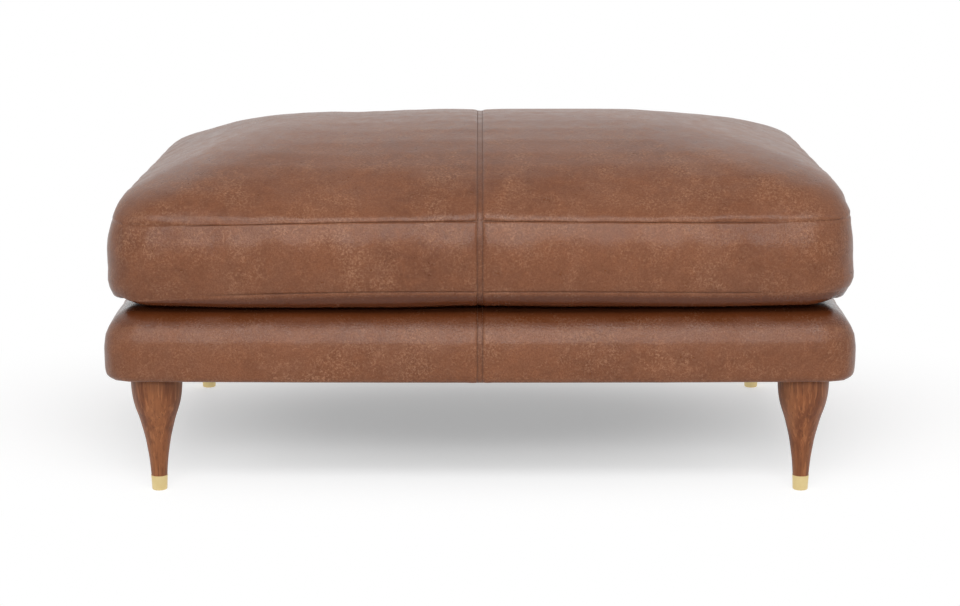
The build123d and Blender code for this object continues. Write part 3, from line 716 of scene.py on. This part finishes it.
finish_cover(cushion_cover, cushion_flat, cushion_moves, carve_cushion, DECK_HEIGHT, settled_with_use)


def noise_node(scale, detail, roughness=0.5, distortion=0.0):
    inputs = {"Scale": scale, "Detail": detail, "Roughness": roughness, "Distortion": distortion}
    return "ShaderNodeTexNoise", {}, inputs


def mix_node(a=None, b=None):
    """A node that mixes two colours, of which one that is linked is left out."""
    colours = {side: (*colour, 1) for side, colour in (("A", a), ("B", b)) if colour}
    return "ShaderNodeMix", {"data_type": "RGBA"}, colours


def bump_node(strength, distance):
    return "ShaderNodeBump", {}, {"Strength": strength, "Distance": distance}


def leather_material(name):
    """Aniline-dyed brown hide: cloudy colour, crackled lighter flecks where the finish is worn, a fine pebbled
    grain, dark grime in the sewn lines, a painted contact shadow along the deck under the cushion's edge, and
    painted shade, darker and warmer, on the deck under the cushion and on the cushion's underside."""
    patterns = ("clouds", "mottle", "bloom", "speckle", "warp", "patches", "breaks", "grain", "stretch")
    masked = ("clouds", "mottle", "bloom", "speckle", "patches", "breaks", "scratches")
    return new_material(name, {
        "clouds": noise_node(6.5, 5, 0.55, 0.5),
        "mottle": noise_node(55, 6, 0.68, 0.4),
        "bloom": noise_node(15, 5, 0.62, 0.9),
        "speckle": noise_node(560, 3, 0.75),
        "warp": noise_node(60, 4, 0.65),
        "bent": ("ShaderNodeMix", {"data_type": "VECTOR"}, {"Factor": 0.014}),
        "crackle": ("ShaderNodeTexVoronoi", {"feature": "DISTANCE_TO_EDGE"}, {"Scale": 300, "Randomness": 1.0}),
        "crazing": ("ShaderNodeTexVoronoi", {"feature": "DISTANCE_TO_EDGE"}, {"Scale": 560, "Randomness": 1.0}),
        "patches": noise_node(16, 6, 0.72, 0.6),
        "breaks": noise_node(330, 3, 0.65),
        "stretch": ("ShaderNodeMapping", {}, {"Scale": (0.35, 1, 1), "Rotation": (0.3, 0.2, 0.35)}),
        "scratches": noise_node(130, 5, 0.7, 1.6),
        "grain": ("ShaderNodeTexVoronoi", {"feature": "SMOOTH_F1"}, {"Scale": 560, "Smoothness": 0.6}),
        "clouds_mask": ramp_node(0.34, 0.66),
        "mottle_mask": ramp_node(0.40, 0.66, out_high=0.60),
        "bloom_mask": ramp_node(0.44, 0.70, out_high=0.60),
        "speckle_mask": ramp_node(0.42, 0.62, out_high=0.75),
        "crack_mask": ramp_node(0.15, 0.02),
        "craze_mask": ramp_node(0.20, 0.04),
        "crack_or_craze": math_node("MAXIMUM"),
        "patches_mask": ramp_node(0.46, 0.70, 0.16),
        "breaks_mask": ramp_node(0.44, 0.62),
        "scratches_mask": ramp_node(0.64, 0.72, out_high=0.5),
        "fleck": math_node("MULTIPLY"),
        "fleck_broken": math_node("MULTIPLY"),
        "worn": math_node("MAXIMUM"),
        "worn_amount": math_node("MULTIPLY", {1: 0.66}),
        "base_tone": mix_node((0.130, 0.040, 0.0135), (0.202, 0.070, 0.0270)),
        "mottled": mix_node(b=(0.255, 0.092, 0.037)),
        "bloomed": mix_node(b=(0.215, 0.088, 0.044)),
        "speckled": mix_node(b=(0.135, 0.038, 0.012)),
        "flecked": mix_node(b=(0.465, 0.245, 0.138)),
        # Painted shade: hide under the cushion and on its underside is mixed towards a darker, warmer brown
        "painted_shade": ("ShaderNodeAttribute", {"attribute_name": "painted_shade"}, {}),
        "painted_shade_amount": math_node("MULTIPLY", {1: 0.85}, clamp=True),
        "painted_shading": mix_node(b=(0.085, 0.019, 0.004)),
        # Grime in the sewn lines, and the painted contact shadow along the deck, both mixed towards a
        # near-black brown
        "grime_and_shade": ("ShaderNodeAttribute", {"attribute_name": "grime_and_shade"}, {}),
        "grime_and_shade_amount": math_node("MULTIPLY", {1: 0.8}, clamp=True),
        "soiled_and_shaded": mix_node(b=(0.045, 0.014, 0.006)),
        "gloss": ramp_node(0.3, 0.7, 0.26, 0.38),
        "gloss_worn": math_node("MULTIPLY_ADD", {1: 0.20}),
        "relief": math_node("MULTIPLY_ADD", {1: -0.35}),
        "bump_soft": bump_node(0.30, 0.0016),
        "bump_grain": bump_node(0.32, 0.0006),
        "kept_gloss": math_node("MULTIPLY_ADD", {1: -0.12}),
        "hide": ("ShaderNodeBsdfPrincipled", {}, {"IOR": 1.46, "Specular IOR Level": 0.38}),
    }, [
        *[("place", "Object", pattern, "Vector") for pattern in patterns],
        ("place", "Object", "bent", "A"),
        ("warp", "Color", "bent", "B"),
        ("bent", "Result", "crackle", "Vector"),
        ("bent", "Result", "crazing", "Vector"),
        ("stretch", "Vector", "scratches", "Vector"),
        *[(pattern, "Fac", f"{pattern}_mask", "Value") for pattern in masked],
        ("crackle", "Distance", "crack_mask", "Value"),
        ("crazing", "Distance", "craze_mask", "Value"),
        ("crack_mask", "Result", "crack_or_craze", 0),
        ("craze_mask", "Result", "crack_or_craze", 1),
        ("crack_or_craze", "Value", "fleck", 0),
        ("patches_mask", "Result", "fleck", 1),
        ("fleck", "Value", "fleck_broken", 0),
        ("breaks_mask", "Result", "fleck_broken", 1),
        ("fleck_broken", "Value", "worn", 0),
        ("scratches_mask", "Result", "worn", 1),
        ("worn", "Value", "worn_amount", 0),
        ("clouds_mask", "Result", "base_tone", "Factor"),
        ("mottle_mask", "Result", "mottled", "Factor"),
        ("base_tone", "Result", "mottled", "A"),
        ("bloom_mask", "Result", "bloomed", "Factor"),
        ("mottled", "Result", "bloomed", "A"),
        ("speckle_mask", "Result", "speckled", "Factor"),
        ("bloomed", "Result", "speckled", "A"),
        ("worn_amount", "Value", "flecked", "Factor"),
        ("speckled", "Result", "flecked", "A"),
        ("grime_and_shade", "Fac", "grime_and_shade_amount", 0),
        ("grime_and_shade_amount", "Value", "soiled_and_shaded", "Factor"),
        ("painted_shade", "Fac", "painted_shade_amount", 0),
        ("painted_shade_amount", "Value", "painted_shading", "Factor"),
        ("painted_shade", "Fac", "kept_gloss", 0),
        ("flecked", "Result", "painted_shading", "A"),
        ("painted_shading", "Result", "soiled_and_shaded", "A"),
        ("soiled_and_shaded", "Result", "hide", "Base Color"),
        ("mottle", "Fac", "gloss", "Value"),
        ("worn_amount", "Value", "gloss_worn", 0),
        ("gloss", "Result", "gloss_worn", 2),
        ("gloss_worn", "Value", "kept_gloss", 2),
        ("kept_gloss", "Value", "hide", "Roughness"),
        ("worn_amount", "Value", "relief", 0),
        ("grain", "Distance", "relief", 2),
        ("relief", "Value", "bump_grain", "Height"),
        ("mottle", "Fac", "bump_soft", "Height"),
        ("bump_soft", "Normal", "bump_grain", "Normal"),
        ("bump_grain", "Normal", "hide", "Normal"),
        ("hide", "BSDF", "out", "Surface"),
    ])


leather = leather_material("leather")
cushion_cover.data.materials.append(leather)
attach(cushion_cover, "cushion")
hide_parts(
    "cushion_top_left", "cushion_top_right", "cushion_boxing_left", "cushion_boxing_right",
    "cushion_bottom_left", "cushion_bottom_right", "zip_strip_upper", "zip_strip_lower",
    "cushion_wrap", "cushion_seam_tape",
)


# Base cover
# The same hide stapled over the padded frame, in two halves sewn together down the middle. It is pulled
# down tight over a thick roll along the deck's edge and turned under the frame.
BASE_HALF_X = 0.4720
BASE_HALF_Y = 0.3180
BASE_LOW = 0.1590
BASE_HIGH = 0.2322
BASE_FOOT = 0.1566
BASE_DECK = 0.2481
HEM_DROP = 2.2 * MM

base_shape = CoverShape(
    surface_of(nodes["base_cover_left"], nodes["base_cover_right"]), BASE_HALF_X, BASE_HALF_Y,
    BASE_LOW, BASE_HIGH, sides=0.10, level=lambda x, y, z: z, flat_floor=BASE_FOOT,
)
base_coarse_cuts = [
    mirrored_cuts(BASE_HALF_X, [5, 13, 24], [0, 9], 10 * MM),
    mirrored_cuts(BASE_HALF_Y, [5, 13, 24], [0, 9], 10 * MM),
    side_cuts(BASE_LOW, BASE_HIGH, [4], [], 8 * MM),
]
base_fine_cuts = [
    mirrored_cuts(BASE_HALF_X, [1.2, 3, 5.6, 9, 13, 18, 24, 31], seam_cuts, 7 * MM),
    mirrored_cuts(BASE_HALF_Y, [1.2, 3, 5.6, 9, 13, 18, 24, 31], [0, 7], 7 * MM),
    side_cuts(BASE_LOW, BASE_HIGH, [1.6, 4], [], 4.5 * MM),
]


def base_pins(flat, place):
    """The stapled foot, the deck under the cushion and the middle seam stay where they are."""
    return 1 if place.z < 0.166 or place.z > 0.2475 or abs(flat.x) < TOUCH else 0


def carve_base(flat, place):
    """The middle seam of the base, the slight dents left by pulling and stapling the hide, painted shade that
    darkens and warms the deck and the top of its roll under the cushion, and a painted contact shadow where the
    deck meets the cushion's edge."""
    move = 0
    grime_and_shade = 0
    on_foot = place.z < BASE_FOOT + 0.9 * MM
    if abs(place.x) < MIDDLE_SEAM_REACH and not on_foot:
        move += middle_seam(place.x)
        grime_and_shade = channel_grime(place.x)
    if not on_foot:
        pull = noise.noise(Vector((place.x * 24, place.y * 24, 5)))
        move += 0.7 * pull * bell((place.z - 0.163) / MM, 11)
        move += 0.35 * noise.noise(Vector((place.x * 9, place.y * 9, place.z * 12)))
    inset = min(BASE_HALF_X - abs(flat.x), BASE_HALF_Y - abs(flat.y)) / MM
    # Painted shade: the deck and the top of its roll under the cushion's overhang, less of it further in from
    # the edge
    painted_shade = 0.6 * soft_step((flat.z - 0.2215) / 0.007) + 0.4 * soft_step((place.z - 0.232) / 0.008)
    painted_shade *= 1 - 0.45 * soft_step((inset - 35) / 60)
    # Painted contact shadow: a dark band on the deck where the cushion's lower edge meets it, carried with the
    # seam grime
    grime_and_shade = max(grime_and_shade, 0.9 * soft_step((place.z - 0.2385) / 0.005) * (1 - soft_step((inset - 30) / 30)))
    return move * MM, grime_and_shade, painted_shade


base_moves = settled_cover(
    "base_block", base_shape, base_coarse_cuts, base_pins, pressure=4, most=1.0 * MM,
)
base_cover = block_for("base_cover", base_shape, base_fine_cuts)
base_flat = shape_cover(base_cover, base_shape)
finish_cover(base_cover, base_flat, base_moves, carve_base, BASE_FOOT)

# The folded hem hangs a little below the foot, and the deck stays clear of the cushion
for vertex, point in zip(base_cover.data.vertices, base_flat):
    edge = min(BASE_HALF_X - abs(point.x), BASE_HALF_Y - abs(point.y)) / MM
    hem = 1 - soft_step((edge - 12) / 10)
    vertex.co.z -= HEM_DROP * hem * (1 - soft_step((vertex.co.z - BASE_FOOT) / 0.016))
    vertex.co.z = min(vertex.co.z, BASE_DECK)
base_cover.data.materials.append(leather)
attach(base_cover, "base")
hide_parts("base_cover_left", "base_cover_right", "base_wadding", "base_seam_tape")


# Stitching
# Two rows of waxed brown thread hold the flattened middle seam, about six millimetres apart.
# Each stitch is a short round of thread that dips into the hide at both ends.
STITCH_PITCH = 4.6 * MM
STITCH_OFFSET = 3.1 * MM
STITCH_LENGTH = 3.9 * MM
THREAD_RADIUS = 0.42 * MM
THREAD_PROUD = 0.12 * MM
SIDE_LOOKS = 80
TOP_LOOKS = 481
LINE_HALF = 0.36

thread = new_material("thread", {
    "twist": noise_node(900, 2),
    "tone": mix_node((0.070, 0.022, 0.008), (0.145, 0.048, 0.019)),
    "bump": bump_node(0.3, 0.0002),
    "fibre": ("ShaderNodeBsdfPrincipled", {}, {"Roughness": 0.6}),
}, [
    ("place", "Object", "twist", "Vector"),
    ("twist", "Fac", "tone", "Factor"),
    ("tone", "Result", "fibre", "Base Color"),
    ("twist", "Fac", "bump", "Height"),
    ("bump", "Normal", "fibre", "Normal"),
    ("fibre", "BSDF", "out", "Surface"),
])


def one_stitch(length, radius):
    """A six-sided round of thread along X, thinner at its sunk ends."""
    bpy.ops.mesh.primitive_cylinder_add(
        vertices=6, radius=radius, depth=length, rotation=(0, math.radians(90), 0), end_fill_type="NGON",
    )
    stitch = bpy.context.object
    bpy.ops.object.transform_apply(location=False, rotation=True, scale=False)
    shape = bmesh.new()
    shape.from_mesh(stitch.data)
    for cut in (-0.3, 0, 0.3):
        slice_across(shape, 0, cut * length)
    for vertex in shape.verts:
        end = abs(vertex.co.x) / (length / 2)
        thin = 1 - 0.45 * end ** 2
        vertex.co.y *= thin
        vertex.co.z = vertex.co.z * thin - radius * 1.3 * end ** 2
    shape.to_mesh(stitch.data)
    shape.free()
    return stitch


def joined_copies(name, pattern, places):
    """Copies of one small mesh at many places, as one object, and the pattern is taken away."""
    shape = bmesh.new()
    for place in places:
        copy = pattern.data.copy()
        copy.transform(place)
        shape.from_mesh(copy)
        bpy.data.meshes.remove(copy)
    mesh = bpy.data.meshes.new(name)
    shape.to_mesh(mesh)
    shape.free()
    joined = bpy.data.objects.new(name, mesh)
    bpy.context.scene.collection.objects.link(joined)
    mesh.shade_smooth()
    bpy.data.objects.remove(pattern, do_unlink=True)
    return joined


def line_over(tree, x, low, rise, rear_low):
    """Points and normals of a line over a cover at one x, from the front's foot over the top to the rear."""
    looks = []
    for step in range(SIDE_LOOKS):
        looks.append((Vector((x, -1, low + (rise - low) * step / (SIDE_LOOKS - 1))), Vector((0, 1, 0))))
    for step in range(TOP_LOOKS):
        along = 2 * LINE_HALF * step / (TOP_LOOKS - 1)
        looks.append((Vector((x, -LINE_HALF + along, 1)), Vector((0, 0, -1))))
    for step in range(SIDE_LOOKS):
        looks.append((Vector((x, 1, rise + (rear_low - rise) * step / (SIDE_LOOKS - 1))), Vector((0, -1, 0))))
    line = []
    for start, look in looks:
        hit, normal, _, _ = tree.ray_cast(start, look)
        if hit is None or hit.z < min(low, rear_low) - MM:
            continue
        if line and (hit - line[-1][0]).length < 0.5 * MM:
            continue
        line.append((hit, normal))
    return line


def stitch_places(line, pitch):
    """One place for each stitch along a line, turned along it and standing on the hide."""
    places = []
    walked = 0
    target = pitch / 2
    for (start, normal), (end, _) in zip(line, line[1:]):
        step = (end - start).length
        if step > 12 * MM:
            continue
        while walked + step >= target:
            point = start.lerp(end, (target - walked) / step)
            along = (end - start).normalized()
            side = normal.cross(along).normalized()
            up = along.cross(side)
            turn = Matrix((along, side, up)).transposed().to_4x4()
            places.append(Matrix.Translation(point + up * THREAD_PROUD) @ turn)
            target += pitch
        walked += step
    return places


def seam_stitches(name, cover, low, rise, rear_low):
    """Two rows of stitches along a cover's middle seam, from its low front edge to its rear edge."""
    tree = surface_of(cover)
    places = []
    for side in (-1, 1):
        line = line_over(tree, side * STITCH_OFFSET, low, rise, rear_low)
        places += stitch_places(line, STITCH_PITCH)
    stitches = joined_copies(name, one_stitch(STITCH_LENGTH, THREAD_RADIUS), places)
    stitches.data.materials.append(thread)
    return stitches


cushion_stitches = seam_stitches("cushion_stitches", cushion_cover, low=0.2560, rise=0.372, rear_low=0.3660)
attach(cushion_stitches, "cushion")

base_stitches = seam_stitches("base_stitches", base_cover, low=0.1585, rise=0.2330, rear_low=0.1585)
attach(base_stitches, "base")


# Zip
# A brown coil zip lies between two hide strips across the back of the cushion, so that the cover can be
# taken off. The two rows of teeth are bent from one nylon wire each and sewn on woven tapes.
TOOTH_LENGTH = 3.1 * MM
TOOTH_RADIUS = 0.62 * MM
TOOTH_PITCH = 1.5 * MM
TOOTH_OFFSET = 0.9 * MM
TOOTH_DEPTH = 0.75 * MM


def plain_material(name, dark, light, roughness, metallic=0.0, scale=120.0, bump=0.1, distance=0.0003):
    """A surface with fine uneven colour and relief."""
    return new_material(name, {
        "uneven": noise_node(scale, 4, 0.6),
        "tone": mix_node(dark, light),
        "bump": bump_node(bump, distance),
        "surface": ("ShaderNodeBsdfPrincipled", {}, {"Roughness": roughness, "Metallic": metallic}),
    }, [
        ("place", "Object", "uneven", "Vector"),
        ("uneven", "Fac", "tone", "Factor"),
        ("tone", "Result", "surface", "Base Color"),
        ("uneven", "Fac", "bump", "Height"),
        ("bump", "Normal", "surface", "Normal"),
        ("surface", "BSDF", "out", "Surface"),
    ])


def dress(material, *names):
    """Gives CAD nodes a material in place of their own."""
    for name in names:
        mesh = nodes[name].data
        mesh.materials.clear()
        mesh.materials.append(material)


zip_metal = plain_material(
    "zip_metal", (0.20, 0.14, 0.07), (0.34, 0.25, 0.13), 0.38, metallic=0.9, scale=300, bump=0.08,
)
tape_cloth = plain_material(
    "tape_cloth", (0.030, 0.016, 0.010), (0.075, 0.040, 0.026), 0.85, scale=900, bump=0.5, distance=0.0004,
)
coil_nylon = plain_material(
    "coil_nylon", (0.045, 0.025, 0.016), (0.085, 0.050, 0.032), 0.42, scale=500, bump=0.05,
)
dress(zip_metal, "zip_stops", "zip_slider", "zip_pull")
dress(tape_cloth, "zip_tape_upper", "zip_tape_lower", "cushion_seam_tape", "base_seam_tape")

chain_low, chain_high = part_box("zip_chain")
tooth = one_stitch(TOOTH_LENGTH, TOOTH_RADIUS)
tooth.data.transform(Matrix.Rotation(math.radians(90), 4, "Y"))
tooth.data.transform(Matrix.Rotation(math.radians(90), 4, "Z"))
tooth_count = int((chain_high.x - chain_low.x) / TOOTH_PITCH) - 1
tooth_places = []
for number in range(tooth_count):
    side = 1 if number % 2 else -1
    tooth_places.append(Matrix.Translation((
        chain_low.x + (number + 1) * TOOTH_PITCH, chain_high.y - TOOTH_DEPTH, ZIP_HEIGHT + side * TOOTH_OFFSET,
    )))
zip_teeth = joined_copies("zip_teeth", tooth, tooth_places)
zip_teeth.data.materials.append(coil_nylon)
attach(zip_teeth, "cushion")
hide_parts("zip_chain")


# Legs
# Four turned legs of stained beech, each one piece, swelling under the base and tapering to the ferrule.
# The grain runs up the leg, with darker pores and streaks under a satin lacquer. A hanger bolt screws each
# leg into a corner block of the frame.
FIBRE_LIGHTNESS = 1.25
PORE_DARKNESS = 0.35


def wood_material(name, dark, mid, light, roughness, bump):
    """Wood with its grain upright: streaks, a broad figure, pale fibres and dark pores."""
    return new_material(name, {
        "along": ("ShaderNodeMapping", {}, {"Scale": (1, 1, 0.07)}),
        "streaks": noise_node(95, 6, 0.6, 0.35),
        "along_pores": ("ShaderNodeMapping", {}, {"Scale": (1, 1, 0.035)}),
        "pores": noise_node(620, 3, 0.55),
        "figure": noise_node(24, 3, distortion=1.2),
        "fibres": noise_node(230, 4, 0.6, 0.8),
        "fibres_mask": ramp_node(0.52, 0.64, out_high=0.55),
        "fibred": mix_node(b=[FIBRE_LIGHTNESS * c for c in light]),
        "streaks_mask": ramp_node(0.40, 0.58),
        "pores_mask": ramp_node(0.56, 0.70, out_high=0.55),
        "figure_mask": ramp_node(0.40, 0.65, out_high=0.6),
        "tone": mix_node(dark, mid),
        "figured": mix_node(b=light),
        "pored": mix_node(b=[PORE_DARKNESS * c for c in dark]),
        "bump": ("ShaderNodeBump", {"invert": True}, {"Strength": bump, "Distance": 0.0003}),
        "wood": ("ShaderNodeBsdfPrincipled", {}, {"Roughness": roughness, "IOR": 1.40}),
    }, [
        ("place", "Object", "along", "Vector"),
        ("along", "Vector", "streaks", "Vector"),
        ("along", "Vector", "figure", "Vector"),
        ("place", "Object", "along_pores", "Vector"),
        ("along_pores", "Vector", "pores", "Vector"),
        *[(pattern, "Fac", f"{pattern}_mask", "Value") for pattern in ("streaks", "pores", "figure", "fibres")],
        ("streaks_mask", "Result", "tone", "Factor"),
        ("figure_mask", "Result", "figured", "Factor"),
        ("tone", "Result", "figured", "A"),
        ("pores_mask", "Result", "pored", "Factor"),
        ("along", "Vector", "fibres", "Vector"),
        ("fibres_mask", "Result", "fibred", "Factor"),
        ("figured", "Result", "fibred", "A"),
        ("fibred", "Result", "pored", "A"),
        ("pored", "Result", "wood", "Base Color"),
        ("pores_mask", "Result", "bump", "Height"),
        ("bump", "Normal", "wood", "Normal"),
        ("wood", "BSDF", "out", "Surface"),
    ])


corner_names = ("front_left", "front_right", "rear_left", "rear_right")
leg_wood = wood_material(
    "leg_wood", (0.150, 0.040, 0.010), (0.245, 0.078, 0.024), (0.330, 0.125, 0.046), roughness=0.42, bump=0.35,
)
dress(leg_wood, *[f"leg_{corner}" for corner in corner_names])


# Ferrules
# Spun brass cups, brushed round and round and a little tarnished. Each is pressed over a tenon turned
# on the foot of its leg.
brass = new_material("ferrule_brass", {
    "rings": ("ShaderNodeMapping", {}, {"Scale": (0.05, 0.05, 1)}),
    "brushing": noise_node(1400, 3, 0.6),
    "tarnish": noise_node(70, 4),
    "tone": mix_node((0.66, 0.50, 0.22), (0.82, 0.67, 0.36)),
    "gloss": ramp_node(0, 1, 0.24, 0.42),
    "bump": bump_node(0.12, 0.0002),
    "metal": ("ShaderNodeBsdfPrincipled", {}, {"Metallic": 1.0}),
}, [
    ("place", "Object", "rings", "Vector"),
    ("rings", "Vector", "brushing", "Vector"),
    ("place", "Object", "tarnish", "Vector"),
    ("tarnish", "Fac", "tone", "Factor"),
    ("tone", "Result", "metal", "Base Color"),
    ("brushing", "Fac", "gloss", "Value"),
    ("gloss", "Result", "metal", "Roughness"),
    ("brushing", "Fac", "bump", "Height"),
    ("bump", "Normal", "metal", "Normal"),
    ("metal", "BSDF", "out", "Surface"),
])
dress(brass, *[f"ferrule_{corner}" for corner in corner_names])


# Frame, springs and fillings
# Hardwood rails, screwed to corner blocks, carry zigzag steel springs, felt, foam and fibre. A black cloth
# is stapled under the rails, and the legs' bolts go through it into tee nuts.
frame_wood = wood_material(
    "frame_wood", (0.42, 0.27, 0.14), (0.55, 0.38, 0.21), (0.62, 0.45, 0.27), roughness=0.7, bump=0.5,
)
dress(
    frame_wood, "front_rail", "rear_rail", "left_rail", "right_rail", "centre_rail",
    *[f"corner_block_{corner}" for corner in corner_names],
)
foam = plain_material("foam", (0.70, 0.66, 0.48), (0.82, 0.79, 0.62), 0.9, scale=700, bump=0.6, distance=0.0006)
dress(foam, "cushion_core", "deck_foam")
fibre = plain_material(
    "fibre", (0.74, 0.74, 0.72), (0.86, 0.86, 0.84), 0.95, scale=180, bump=0.7, distance=0.002,
)
dress(fibre, "cushion_wrap", "base_wadding", "spring_felt")
dust_cloth = plain_material(
    "dust_cloth", (0.010, 0.010, 0.011), (0.028, 0.028, 0.030), 0.88, scale=800, bump=0.6, distance=0.0005,
)
dress(dust_cloth, "dust_cover")
steel = plain_material("steel", (0.42, 0.42, 0.43), (0.60, 0.60, 0.61), 0.35, metallic=1.0, scale=400)
dress(
    steel, "zigzag_springs", "spring_clips", "clip_nails", "rail_screws", "block_screws", "hanger_bolts",
    "tee_nuts", "dust_cover_staples",
)
